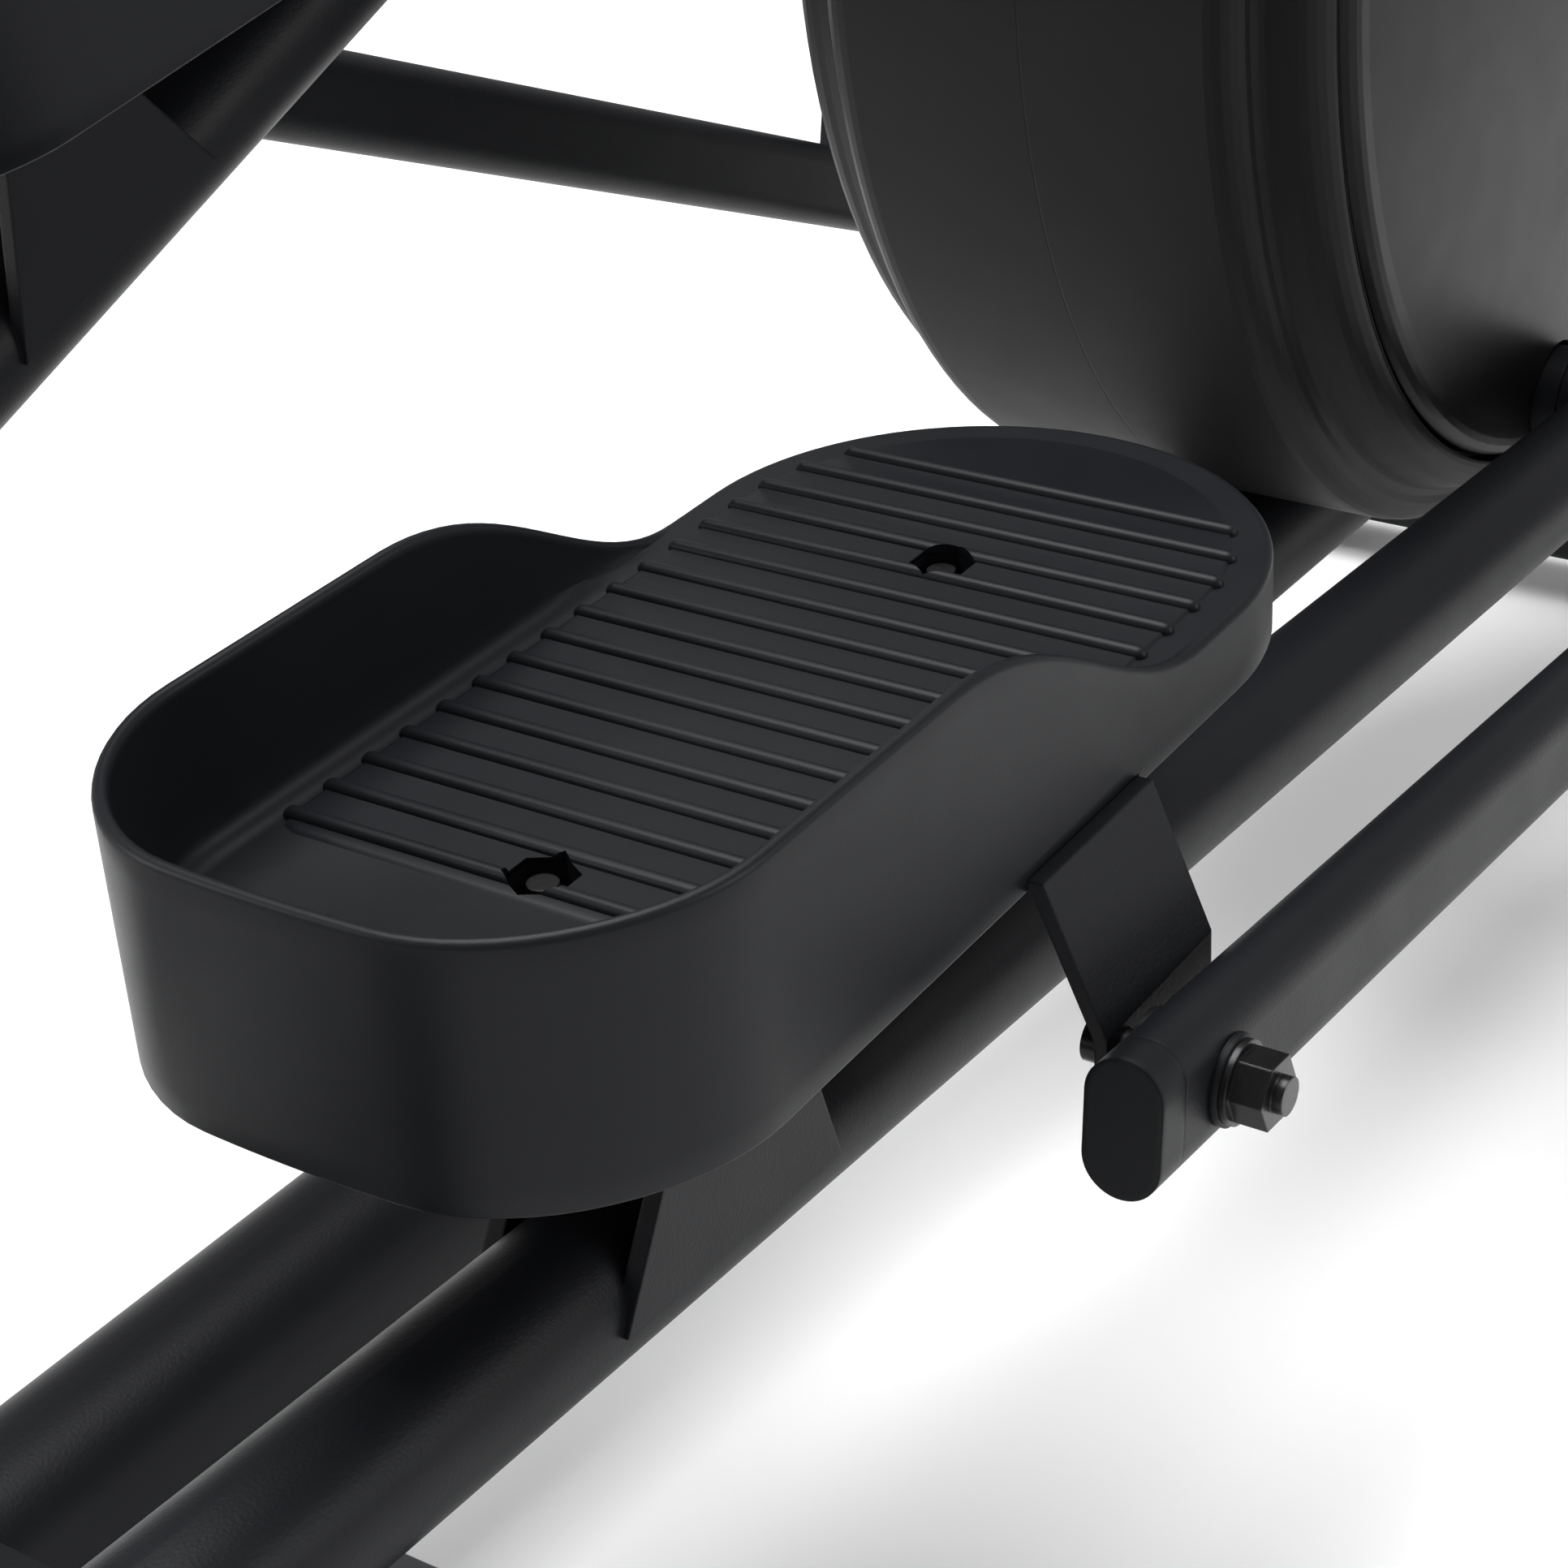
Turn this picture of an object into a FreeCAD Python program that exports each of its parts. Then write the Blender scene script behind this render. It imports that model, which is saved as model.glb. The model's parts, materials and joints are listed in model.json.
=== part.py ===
import FreeCAD, Part
import math
import os
from FreeCAD import Vector

# Elliptical trainer, front drive. Millimetres. Origin on the floor under the middle of the base,
# +X towards the drive housing, +Y to the left of the person on the pedals, +Z up.
# Right-hand pieces are made with their outer side towards -Y, and left-hand ones are mirrored.

# ---- overall -------------------------------------------------------------------------------------
base_length = 1800.0
stabilizer_radius = 30.0
stabilizer_axis_height = 45.0
stabilizer_length = 560.0
stabilizer_wall = 2.5
end_cap_length = 36.0
end_cap_skin = 4.0
foot_radius = 24.0
stabilizer_x = base_length / 2 - stabilizer_radius - end_cap_skin

# ---- main beam -----------------------------------------------------------------------------------
beam_radius = 30.0
beam_wall = 3.0
beam_height_at_origin = 123.9
beam_slope = 0.0708
leg_radius = 27.0
leg_wall = 2.5

# ---- crank and pedal arms ------------------------------------------------------------------------
crank_x = 523.0
crank_z = 463.5
crank_radius = 240.0
crank_lag = 5.2             # degrees the right pin is behind bottom dead centre
arm_length = 1120.0         # crank pin to roller axle
arm_lateral = 150.0
arm_tube_radius = 21.0
arm_tube_wall = 2.5
hub_radius = 25.0
hub_inner_lateral = 123.5
hub_outer_lateral = 176.0
bearing_gap = 0.05

# ---- rollers and tracks --------------------------------------------------------------------------
roller_axle_z = 196.2
roller_radius = 30.0
roller_width = 30.0
roller_axle_radius = 6.0
roller_gap = 0.5
track_width = 46.0
track_thickness = 4.0
track_lip = 3.0
track_front_x = -304.0
track_rear_x = -850.0
rail_height = 22.0
rail_width = 40.0
crossbar_width = 30.0
crossbar_height = 20.0
yoke_thickness = 5.0
yoke_side_gap = 1.5
yoke_reach = 46.0

# ---- pedals --------------------------------------------------------------------------------------
pedal_lateral = 139.0
pedal_half_width = 84.0
pedal_toe = 165.0
pedal_heel = 208.0
heel_corner = 56.0
pedal_floor = -3.0
pedal_floor_thickness = 5.0
pedal_wall = 4.0
pedal_wall_top = 42.0
pedal_bottom = -27.0
rib_count = 17
rib_pitch = 15.0
rib_width = 5.0
rib_field_half = 74.5
right_pedal_tilt = 6.1
left_pedal_tilt = 14.5
pivot_u = -88.0             # pedal pivot in the pedal's own frame
pivot_w = -40.0
pivot_along = 417.0         # pedal pivot on the arm: from the roller axle, and above the tube's axis
pivot_height = 71.0
pivot_radius = 6.0
screw_u = (-115.5, 67.5)
screw_radius = 4.0
plate_thickness = 3.5
plate_half_width = 50.0
plate_toe = 90.0
plate_heel = 135.0
ear_half_width = 28.5
ear_u = -7.0
ear_lateral = 105.0
ear_drop = 38.0
lug_thickness = 4.0
gusset_thickness = 5.0
lug_gap = 1.5

# ---- links and swing arms ------------------------------------------------------------------------
link_lateral = 262.0
link_pin_u = -26.0
link_pin_w = -71.0
link_length = 640.0
link_height = 38.0
link_width = 21.0
link_wall = 2.0
link_overhang = 36.0
link_pin_radius = 5.0
swing_x = 640.0
swing_z = 1010.0
swing_tube_radius = 19.0
swing_wall = 2.5
swing_hub_radius = 26.0
swing_hub_length = 56.0
swing_axle_radius = 12.0
swing_plate_gap = 2.0
swing_plate_thickness = 5.0
swing_end_gap = 44.0
handle_radius = 16.0
grip_radius = 20.0
grip_length = 260.0

# ---- housing and drive ---------------------------------------------------------------------------
drum_radius = 295.0
drum_half_width = 84.0
ring_lateral = 108.0
skin = 3.0
disc_radius = 262.0
disc_rim_lateral = 112.0
disc_back_lateral = 98.0
dome_lateral = 120.0
disc_skin = 3.0
crank_axle_radius = 10.0
pulley_radius = 130.0
pulley_width = 14.0
pulley_lateral = 58.0
belt_gap = 0.4
belt_thickness = 2.5
flywheel_x = 628.0
flywheel_z = 590.0
flywheel_radius = 104.0
flywheel_width = 26.0
flywheel_lateral = 44.0
flywheel_pulley_radius = 16.0
flywheel_shaft_radius = 7.0
idler_radius = 18.0
core_plate_thickness = 6.0

# ---- mast and console ----------------------------------------------------------------------------
mast_x = 866.0
mast_radius = 28.0
mast_wall = 2.5
mast_bend_z = 545.0
mast_top_z = 1290.0
mast_bend_radius = 220.0
console_width = 240.0
console_height = 190.0
console_depth = 46.0
console_tilt = 38.0
fixed_bar_radius = 14.0
knob_z = 900.0
wheel_radius = 32.0
wheel_width = 24.0
wheel_lateral = 200.0

Y = Vector(0, 1, 0)
X = Vector(1, 0, 0)
Z = Vector(0, 0, 1)


# ---- helpers -------------------------------------------------------------------------------------
def turned(dx, dz, degrees):
    """A vector in the XZ plane after its front end is raised by the angle."""
    c = math.cos(math.radians(degrees))
    s = math.sin(math.radians(degrees))
    return dx * c - dz * s, dx * s + dz * c


def rod(start, end, radius):
    axis = end.sub(start)
    return Part.makeCylinder(radius, axis.Length, start, axis)


def tube(start, end, radius, wall):
    axis = end.sub(start)
    along = Vector(axis).normalize()
    bore = Part.makeCylinder(radius - wall, axis.Length + 2, start.sub(along), along)
    return rod(start, end, radius).cut(bore)


def cross_rod(x, z, radius, y0, y1):
    """A cylinder along Y between two lateral places."""
    return Part.makeCylinder(radius, y1 - y0, Vector(x, y0, z), Y)


def ring(x, z, outer, inner, y0, y1):
    return cross_rod(x, z, outer, y0, y1).cut(cross_rod(x, z, inner, y0 - 1, y1 + 1))


def block(x0, x1, y0, y1, z0, z1):
    return Part.makeBox(x1 - x0, y1 - y0, z1 - z0, Vector(x0, y0, z0))


def one(shapes):
    """Fuses a list of touching shapes into one piece."""
    return shapes[0].fuse(shapes[1:]).removeSplitter()


def group(shapes):
    return Part.makeCompound(shapes)


def mirrored(shape):
    return shape.mirror(Vector(0, 0, 0), Y)


def plate_xz(points, y0, y1):
    """A flat plate in the XZ plane between two lateral places."""
    corners = [Vector(x, y0, z) for x, z in points]
    wire = Part.makePolygon(corners + [corners[0]])
    return Part.Face(wire).extrude(Vector(0, y1 - y0, 0))


def bent_wire(points, radius):
    """Straight runs joined by tangent arcs."""
    edges = []
    start = points[0]
    for before, corner, after in zip(points, points[1:], points[2:]):
        into = corner.sub(before).normalize()
        out = after.sub(corner).normalize()
        turn = into.getAngle(out)
        back = radius * math.tan(turn / 2)
        p = corner.sub(into * back)
        q = corner.add(out * back)
        inward = out.sub(into).normalize()
        mid = corner.add(inward * (radius / math.cos(turn / 2) - radius))
        edges.append(Part.LineSegment(start, p).toShape())
        edges.append(Part.Arc(p, mid, q).toShape())
        start = q
    edges.append(Part.LineSegment(start, points[-1]).toShape())
    return Part.Wire(edges)


def swept(wire, radius):
    first = wire.Edges[0]
    start = first.valueAt(first.FirstParameter)
    along = first.tangentAt(first.FirstParameter)
    circle = Part.Wire(Part.makeCircle(radius, start, along))
    return wire.makePipeShell([circle], True, False)


def bent_tube(points, bend, radius, wall):
    wire = bent_wire(points, bend)
    return swept(wire, radius).cut(swept(wire, radius - wall))


def revolved(profile):
    """A solid of revolution about the crank axis; the profile is (lateral, radius) pairs."""
    corners = [Vector(crank_x, -lateral, crank_z + radius) for lateral, radius in profile]
    face = Part.Face(Part.makePolygon(corners + [corners[0]]))
    return face.revolve(Vector(crank_x, 0, crank_z), Y, 360)


# ---- linkage places ------------------------------------------------------------------------------
def crank_pin(side):
    """Right (-1) and left (+1) pins are half a turn apart."""
    lag = math.radians(crank_lag)
    return crank_x + side * crank_radius * math.sin(lag), crank_z + side * crank_radius * math.cos(lag)


def arm_tilt(side):
    rise = crank_pin(side)[1] - roller_axle_z
    return math.degrees(math.asin(rise / arm_length))


def roller_x(side):
    rise = crank_pin(side)[1] - roller_axle_z
    return crank_pin(side)[0] - math.sqrt(arm_length ** 2 - rise ** 2)


def pedal_pivot(side):
    dx, dz = turned(pivot_along, pivot_height, arm_tilt(side))
    return roller_x(side) + dx, roller_axle_z + dz


def pedal_tilt(side):
    return right_pedal_tilt if side < 0 else left_pedal_tilt


def on_pedal(side, u, w):
    """A point given in the pedal's frame, in the trainer's frame."""
    dx, dz = turned(u - pivot_u, w - pivot_w, pedal_tilt(side))
    return pedal_pivot(side)[0] + dx, pedal_pivot(side)[1] + dz


def link_pin(side):
    return on_pedal(side, link_pin_u, link_pin_w)


def swing_reach():
    """Swing pivot to the link's front pin, set so that the right link lies level."""
    x, z = link_pin(-1)
    return math.hypot(x + link_length - swing_x, z - swing_z)


def link_front(side):
    """The link's front pin, where the link's length meets the swing arm's reach."""
    x, z = link_pin(side)
    span = math.hypot(swing_x - x, swing_z - z)
    reach = swing_reach()
    base = math.atan2(swing_z - z, swing_x - x)
    cosine = (link_length ** 2 + span ** 2 - reach ** 2) / (2 * link_length * span)
    angle = base - math.acos(cosine)
    return x + link_length * math.cos(angle), z + link_length * math.sin(angle)


def link_tilt(side):
    x, z = link_pin(side)
    fx, fz = link_front(side)
    return math.degrees(math.atan2(fz - z, fx - x))


def swing_lean(side):
    """Degrees that the swing arm's upper end leans forward."""
    fx, fz = link_front(side)
    return math.degrees(math.atan2(swing_x - fx, swing_z - fz))


def place(shape, side, x, z, tilt):
    """Puts a right-hand shape, made about the origin, at its place on either side."""
    result = shape.copy() if side < 0 else mirrored(shape)
    result.rotate(Vector(0, 0, 0), Y, -tilt)
    result.translate(Vector(x, 0, z))
    return result


# ---- base frame ----------------------------------------------------------------------------------
def beam_z(x):
    return beam_height_at_origin + beam_slope * x


def beam_point(x):
    return Vector(x, 0, beam_z(x))


def stabilizer_rod(x, grow=0.0):
    half = stabilizer_length / 2
    return cross_rod(x, stabilizer_axis_height, stabilizer_radius + grow, -half, half)


def main_beam():
    front = beam_point(mast_x + leg_radius)
    rear = beam_point(-stabilizer_x)
    return tube(rear, front, beam_radius, beam_wall).cut(stabilizer_rod(-stabilizer_x))


def beam_rod(grow=0.0):
    return rod(beam_point(-stabilizer_x), beam_point(mast_x + leg_radius), beam_radius + grow)


def front_leg():
    low = Vector(stabilizer_x, 0, stabilizer_axis_height)
    high = Vector(stabilizer_x, 0, beam_z(stabilizer_x))
    leg = tube(low, high, leg_radius, leg_wall)
    return leg.cut(stabilizer_rod(stabilizer_x)).cut(beam_rod())


def stabilizer(x):
    half = stabilizer_length / 2
    solid = stabilizer_rod(x)
    return solid.cut(cross_rod(x, stabilizer_axis_height, stabilizer_radius - stabilizer_wall, -half - 1, half + 1))


def stabilizer_cap(x, side):
    """A moulded end cap with the foot under it."""
    half = stabilizer_length / 2
    outer = half + end_cap_skin
    y0, y1 = sorted((side * (outer - end_cap_length), side * outer))
    sleeve = cross_rod(x, stabilizer_axis_height, stabilizer_radius + end_cap_skin, y0, y1)
    foot_y = (y0 + y1) / 2
    foot = Part.makeCylinder(foot_radius, stabilizer_axis_height, Vector(x, foot_y, 0), Z)
    return one([sleeve, foot]).cut(stabilizer_rod(x))


def stabilizer_caps():
    return group([stabilizer_cap(x, side) for x in (-stabilizer_x, stabilizer_x) for side in (-1, 1)])


def track_top():
    return roller_axle_z - roller_radius - roller_gap


def rail_bar(side):
    z1 = track_top() - track_thickness
    y = side * arm_lateral
    return block(track_rear_x, track_front_x, y - rail_width / 2, y + rail_width / 2, z1 - rail_height, z1)


def rail_frame():
    """Two rails on a front and a rear crossbar, coped over the beam, on two rear posts."""
    z0 = track_top() - track_thickness - rail_height
    half = arm_lateral + rail_width / 2
    front_x = track_front_x - crossbar_width - 26
    rear_x = -stabilizer_x - crossbar_width / 2
    parts = [rail_bar(-1), rail_bar(1)]
    parts.append(block(front_x, front_x + crossbar_width, -half, half, z0 - crossbar_height, z0))
    parts.append(block(rear_x, rear_x + crossbar_width, -half, half, z0 - crossbar_height, z0))
    for side in (-1, 1):
        y = side * arm_lateral
        parts.append(block(rear_x, rear_x + crossbar_width, y - 15, y + 15, stabilizer_axis_height, z0))
    return one(parts).cut(beam_rod()).cut(stabilizer_rod(-stabilizer_x))


def track(side):
    """An aluminium running strip with a low lip along each edge."""
    y0 = side * arm_lateral - track_width / 2
    y1 = y0 + track_width
    top = track_top()
    strip = block(track_rear_x, track_front_x, y0, y1, top - track_thickness, top)
    lips = [block(track_rear_x, track_front_x, y0, y0 + 2, top, top + track_lip),
            block(track_rear_x, track_front_x, y1 - 2, y1, top, top + track_lip)]
    return one([strip] + lips)


def track_stops():
    """A rubber stop across the rear end of each track."""
    top = track_top()
    stops = []
    for side in (-1, 1):
        y = side * arm_lateral
        stops.append(block(track_rear_x, track_rear_x + 12, y - 18, y + 18, top, top + 16))
    return group(stops)


# ---- rollers and arms ----------------------------------------------------------------------------
def yoke_inner():
    return roller_width / 2 + yoke_side_gap


def roller_axle(side):
    half = yoke_inner() + yoke_thickness
    y = side * arm_lateral
    x = roller_x(side)
    shaft = cross_rod(x, roller_axle_z, roller_axle_radius, y - half - 3, y + half + 3)
    heads = [ring(x, roller_axle_z, 10, roller_axle_radius, y - half - 6, y - half - 1),
             ring(x, roller_axle_z, 10, roller_axle_radius, y + half + 1, y + half + 6)]
    ends = [cross_rod(x, roller_axle_z, 10, y - half - 7, y - half - 3),
            cross_rod(x, roller_axle_z, 10, y + half + 3, y + half + 7)]
    return one([shaft] + heads + ends)


def roller(side):
    y = side * arm_lateral
    x = roller_x(side)
    half = roller_width / 2
    body = cross_rod(x, roller_axle_z, roller_radius, y - half, y + half)
    body = body.makeFillet(3, [e for e in body.Edges if e.Curve.TypeId == "Part::GeomCircle"])
    groove = ring(x, roller_axle_z, roller_radius - 7, 12, y + half - 4, y + half + 1)
    groove_in = ring(x, roller_axle_z, roller_radius - 7, 12, y - half - 1, y - half + 4)
    bore = cross_rod(x, roller_axle_z, roller_axle_radius + bearing_gap, y - half - 1, y + half + 1)
    return body.cut(groove).cut(groove_in).cut(bore)


def arm_profile():
    """The right arm about its roller axle, lying along +X, with its plane at Y = 0."""
    inner = yoke_inner()
    outer = inner + yoke_thickness
    main = rod(Vector(yoke_reach, 0, 0), Vector(arm_length, 0, 0), arm_tube_radius)
    hub = Part.makeCylinder(hub_radius, hub_outer_lateral - hub_inner_lateral,
                            Vector(arm_length, arm_lateral - hub_outer_lateral, 0), Y)
    web = block(yoke_reach - 6, yoke_reach + 6, -outer, outer, -16, 16)
    cheeks = []
    for y0 in (-outer, inner):
        bar = block(0, yoke_reach, y0, y0 + yoke_thickness, -15, 15)
        end = cross_rod(0, 0, 15, y0, y0 + yoke_thickness)
        cheeks += [bar, end]
    gussets = []
    for y0 in (-arm_tube_radius - 2, arm_tube_radius - 3):
        outline = [(pivot_along - 50, 0), (pivot_along + 46, 0), (pivot_along + 18, pivot_height - 2),
                   (pivot_along + 7, pivot_height + 9), (pivot_along - 7, pivot_height + 9),
                   (pivot_along - 16, pivot_height - 2)]
        gussets.append(plate_xz(outline, y0, y0 + gusset_thickness))
    arm = one([main, hub, web] + cheeks + gussets)
    bore = rod(Vector(yoke_reach + 10, 0, 0), Vector(arm_length - hub_radius - 6, 0, 0),
               arm_tube_radius - arm_tube_wall)
    pin_hole = cross_rod(pivot_along, pivot_height, pivot_radius + bearing_gap, -60, 60)
    axle_hole = cross_rod(0, 0, roller_axle_radius + bearing_gap, -60, 60)
    return arm.cut(bore).cut(pin_hole).cut(axle_hole)


def arm(side):
    shape = arm_profile()
    shape.translate(Vector(0, -arm_lateral, 0))
    return place(shape, side, roller_x(side), roller_axle_z, arm_tilt(side))


# ---- pedals --------------------------------------------------------------------------------------
def pedal_outline(inset):
    """Rounded heel corners with a bowed end, straight sides and a half-round toe."""
    half = pedal_half_width - inset
    toe = pedal_toe - inset
    heel = -pedal_heel + inset
    corner = heel_corner - inset
    bow = 9.0
    shoulder = toe - half
    heel_side = heel + bow + corner
    c = corner * (1 - math.sqrt(0.5))
    z = 0.0
    pts = {
        "toe_r": Vector(shoulder, -half, z), "tip": Vector(toe, 0, z), "toe_l": Vector(shoulder, half, z),
        "side_l": Vector(heel_side, half, z), "mid_l": Vector(heel + bow + c, half - c, z),
        "back_l": Vector(heel + bow, half - corner, z), "heel": Vector(heel, 0, z),
        "back_r": Vector(heel + bow, -half + corner, z), "mid_r": Vector(heel + bow + c, -half + c, z),
        "side_r": Vector(heel_side, -half, z)}
    edges = [Part.Arc(pts["toe_r"], pts["tip"], pts["toe_l"]),
             Part.LineSegment(pts["toe_l"], pts["side_l"]),
             Part.Arc(pts["side_l"], pts["mid_l"], pts["back_l"]),
             Part.Arc(pts["back_l"], pts["heel"], pts["back_r"]),
             Part.Arc(pts["back_r"], pts["mid_r"], pts["side_r"]),
             Part.LineSegment(pts["side_r"], pts["toe_r"])]
    return Part.Wire([edge.toShape() for edge in edges])


def pedal_slab(inset, low, high):
    face = Part.Face(pedal_outline(inset))
    face.translate(Vector(0, 0, low))
    return face.extrude(Vector(0, 0, high - low))


def above_rim():
    """All that lies above the wall's flowing top edge, seen from the side."""
    y = -pedal_half_width - 5
    far_u = pedal_toe + 10
    high = pedal_wall_top + 20
    a = Vector(-66, y, pedal_wall_top)
    b = Vector(58, y, pedal_floor)
    curve = Part.BezierCurve()
    curve.setPoles([a, Vector(-14, y, pedal_wall_top), Vector(16, y, pedal_floor), b])
    corners = [b, Vector(far_u, y, pedal_floor), Vector(far_u, y, high), Vector(-pedal_heel - 10, y, high),
               Vector(-pedal_heel - 10, y, pedal_wall_top), a]
    lines = [Part.LineSegment(p, q).toShape() for p, q in zip(corners, corners[1:])]
    face = Part.Face(Part.Wire([curve.toShape()] + lines))
    return face.extrude(Vector(0, 2 * pedal_half_width + 10, 0))


def tread_ribs():
    """Cross ribs that follow the rounded toe."""
    first = -(rib_count - 1) / 2 * rib_pitch
    ribs = []
    for i in range(rib_count):
        u = first + i * rib_pitch
        ribs.append(block(u - rib_width / 2, u + rib_width / 2, -rib_field_half, rib_field_half,
                          pedal_floor, 0))
    field = pedal_slab(pedal_half_width - rib_field_half, pedal_floor - 1, 1)
    return [rib.common(field) for rib in ribs]


def hexagon(u, across, low, high):
    corners = []
    for i in range(6):
        angle = math.radians(60 * i + 30)
        reach = across / math.sqrt(3)
        corners.append(Vector(u + reach * math.sin(angle), reach * math.cos(angle), low))
    return Part.Face(Part.makePolygon(corners + [corners[0]])).extrude(Vector(0, 0, high - low))


def pedal_shape():
    floor_low = pedal_floor - pedal_floor_thickness
    body = pedal_slab(0, pedal_bottom, pedal_wall_top).cut(above_rim())
    body = body.cut(pedal_slab(pedal_wall, pedal_floor, pedal_wall_top + 1))
    body = body.cut(pedal_slab(pedal_wall, pedal_bottom - 1, floor_low))
    bosses = [Part.makeCylinder(13, floor_low - pedal_bottom - plate_thickness,
                                Vector(u, 0, pedal_bottom + plate_thickness), Z) for u in screw_u]
    body = one([body] + bosses + tread_ribs())
    for u in screw_u:
        body = body.cut(hexagon(u, 16, pedal_floor - 2.5, 5))
        body = body.cut(Part.makeCylinder(screw_radius + 0.3, 60, Vector(u, 0, -40), Z))
    notch = block(ear_u - ear_half_width - 0.5, ear_u + ear_half_width + 0.5, -pedal_half_width - 1,
                  -pedal_half_width + pedal_wall + 1, pedal_bottom - 1, pedal_bottom + plate_thickness + 0.5)
    return body.cut(notch)


def plate_shape():
    """The bent steel plate under the pedal, with two pivot lugs and an ear for the link."""
    low = pedal_bottom
    high = pedal_bottom + plate_thickness
    arm_y = pedal_lateral - arm_lateral
    base = block(-plate_heel, plate_toe, -plate_half_width, plate_half_width, low, high)
    tongue = block(ear_u - ear_half_width, ear_u + ear_half_width, -pedal_half_width - 1,
                   -plate_half_width, low, high)
    t = plate_thickness
    bend = -pedal_half_width - 1
    down = link_pin_w - 22
    side = [(bend, high), (bend, low), (-ear_lateral + t, low - ear_drop), (-ear_lateral + t, down),
            (-ear_lateral, down), (-ear_lateral, low - ear_drop + 1.5), (bend - t * 0.9, high)]
    corners = [Vector(ear_u - ear_half_width, y, z) for y, z in side]
    ear = Part.Face(Part.makePolygon(corners + [corners[0]])).extrude(Vector(2 * ear_half_width, 0, 0))
    trim = block(ear_u - 40, ear_u - ear_half_width + 1, -ear_lateral - 1, -ear_lateral + t + 1,
                 down - 1, down + 1)
    lugs = []
    gusset_out = arm_tube_radius + 2 + lug_gap
    for y0 in (arm_y - gusset_out - lug_thickness, arm_y + gusset_out):
        lugs.append(plate_xz([(pivot_u - 34, high - 1), (pivot_u - 16, pivot_w - 12),
                              (pivot_u - 9, pivot_w - 16), (pivot_u + 9, pivot_w - 16),
                              (pivot_u + 16, pivot_w - 12), (pivot_u + 46, high - 1)],
                             y0, y0 + lug_thickness))
    shape = one([base, tongue, ear] + lugs).cut(trim)
    shape = shape.cut(cross_rod(link_pin_u, link_pin_w, link_pin_radius + bearing_gap, -140, -90))
    shape = shape.cut(cross_rod(pivot_u, pivot_w, pivot_radius, arm_y - 60, arm_y + 60))
    for u in screw_u:
        shape = shape.cut(Part.makeCylinder(screw_radius + 0.3, 20, Vector(u, 0, low - 8), Z))
    return shape


def pedal_bolt_shapes():
    """Two countersunk pedal screws with their nuts, and the pivot bolt."""
    arm_y = pedal_lateral - arm_lateral
    bolts = []
    for u in screw_u:
        shank = Part.makeCylinder(screw_radius, pedal_floor - 1 - pedal_bottom + 8,
                                  Vector(u, 0, pedal_bottom - 8), Z)
        washer = Part.makeCylinder(8, 1.5, Vector(u, 0, pedal_bottom - 1.5), Z)
        head = Part.makeCylinder(6.5, 5, Vector(u, 0, pedal_bottom - 6.5), Z)
        bolts.append(one([shank, washer, head]))
    reach = arm_tube_radius + 2 + lug_gap + lug_thickness
    pin = cross_rod(pivot_u, pivot_w, pivot_radius, arm_y - reach - 4, arm_y + reach + 4)
    caps = []
    for y0, y1 in ((arm_y - reach - 6, arm_y - reach), (arm_y + reach, arm_y + reach + 6)):
        cap = cross_rod(pivot_u, pivot_w, 11, y0, y1)
        caps.append(cap)
    bolts.append(one([pin] + caps))
    return group(bolts)


def pedal_part(shape, side):
    moved = shape.copy()
    moved.translate(Vector(-pivot_u, -pedal_lateral, -pivot_w))
    x, z = pedal_pivot(side)
    return place(moved, side, x, z, pedal_tilt(side))


# ---- links ---------------------------------------------------------------------------------------
def oval_bar(x0, x1, height, width):
    """A flat-oval bar along X, tall side upright, centred on the axis."""
    flat = height - width
    body = block(x0, x1, -width / 2, width / 2, -flat / 2, flat / 2)
    top = rod(Vector(x0, 0, flat / 2), Vector(x1, 0, flat / 2), width / 2)
    low = rod(Vector(x0, 0, -flat / 2), Vector(x1, 0, -flat / 2), width / 2)
    return one([body, top, low])


def link_tube_shape():
    x0 = -link_overhang + 12
    x1 = link_length + link_overhang - 12
    outer = oval_bar(x0, x1, link_height, link_width)
    inner = oval_bar(x0 - 1, x1 + 1, link_height - 2 * link_wall, link_width - 2 * link_wall)
    shape = outer.cut(inner)
    for x in (0, link_length):
        shape = shape.cut(cross_rod(x, 0, link_pin_radius + 3, -20, 20))
    return shape


def link_cap_shape():
    caps = []
    for x0, x1 in ((-link_overhang, -link_overhang + 12), (link_length + link_overhang - 12,
                                                          link_length + link_overhang)):
        caps.append(oval_bar(x0, x1, link_height, link_width))
    return group(caps)


def link_bush_shape():
    """Flanged bushes through the link at both pins."""
    half = link_width / 2
    bushes = []
    for x in (0, link_length):
        sleeve = ring(x, 0, link_pin_radius + 3, link_pin_radius, -half - 2, half + 2)
        flanges = [ring(x, 0, link_pin_radius + 7, link_pin_radius, -half - 2, -half),
                   ring(x, 0, link_pin_radius + 7, link_pin_radius, half, half + 2)]
        bushes.append(one([sleeve] + flanges))
    return group(bushes)


def link_bolt_shape():
    """The bolt through the link and the pedal plate's ear, with washer and lock nut outside."""
    half = link_width / 2
    ear_in = link_lateral - pedal_lateral - ear_lateral + plate_thickness
    shank = cross_rod(0, 0, link_pin_radius, -half - 16, ear_in + 2)
    head = cross_rod(0, 0, 6.0, ear_in + 0.9, ear_in + 6)
    washer = ring(0, 0, 11, link_pin_radius, -half - 4, -half - 2)
    hexa = hexagon(0, 17, 0, 9)
    hexa.rotate(Vector(0, 0, 0), X, 90)
    hexa.translate(Vector(0, -half - 4, 0))
    return one([shank, head, washer, hexa])


def link_part(shape, side):
    moved = shape.copy()
    moved.translate(Vector(0, -link_lateral, 0))
    x, z = link_pin(side)
    return place(moved, side, x, z, link_tilt(side))


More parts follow.
